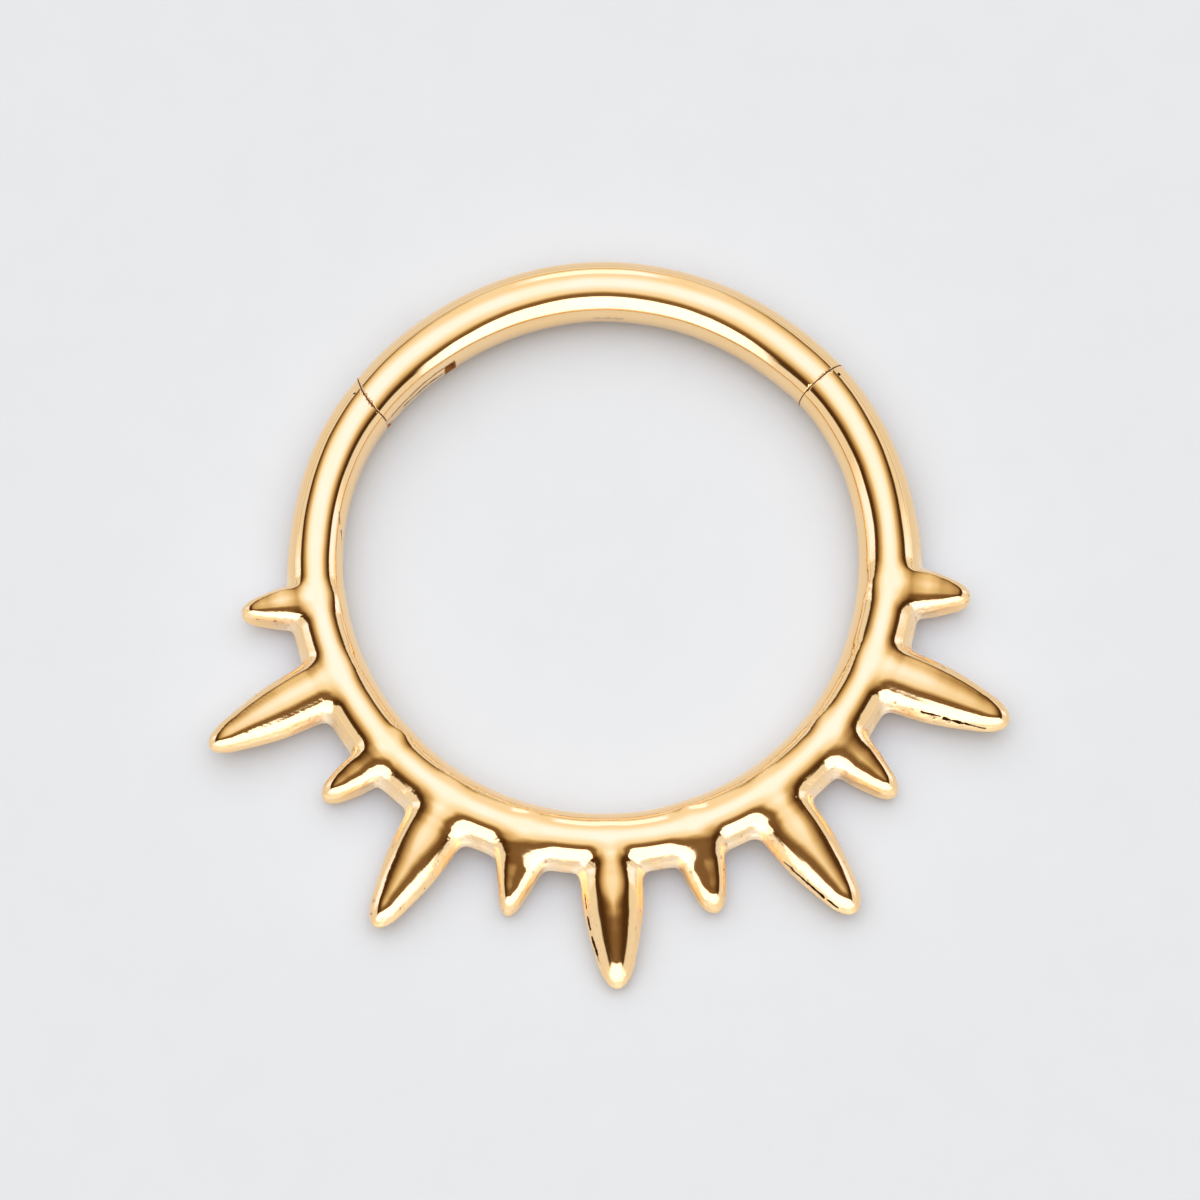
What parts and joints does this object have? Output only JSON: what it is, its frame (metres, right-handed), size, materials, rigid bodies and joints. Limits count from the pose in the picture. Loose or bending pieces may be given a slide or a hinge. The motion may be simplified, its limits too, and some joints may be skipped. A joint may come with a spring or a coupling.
{
  "type": "hinged segment ring with spikes",
  "caption": "Round-wire hinged segment ring for a piercing, with a fan of large and small blunt spikes along its lower outer side.",
  "frame": {"origin": "centre of the hoop, half way up the wire's thickness", "axes": "+Z along the hoop's axis, up as the ring lies flat; -Y towards the middle large spike; +X towards the clasp side, the hinge being on the -X side"},
  "size_m": [0.0156, 0.0147, 0.0012],
  "materials": {
    "yellow_gold": "mirror-polished yellow gold"
  },
  "bodies": {
    "arc": {"spiked_arc": "yellow_gold"},
    "segment": {"hinged_segment": "yellow_gold", "hinge_pin": "yellow_gold"}
  },
  "joints": [
    {"name": "segment_hinge", "type": "hinge", "parent": "arc", "child": "segment", "pos_m": [-0.00355, 0.00415, 0], "axis": [0, 0, 1], "range_deg": [0, 80]}
  ]
}
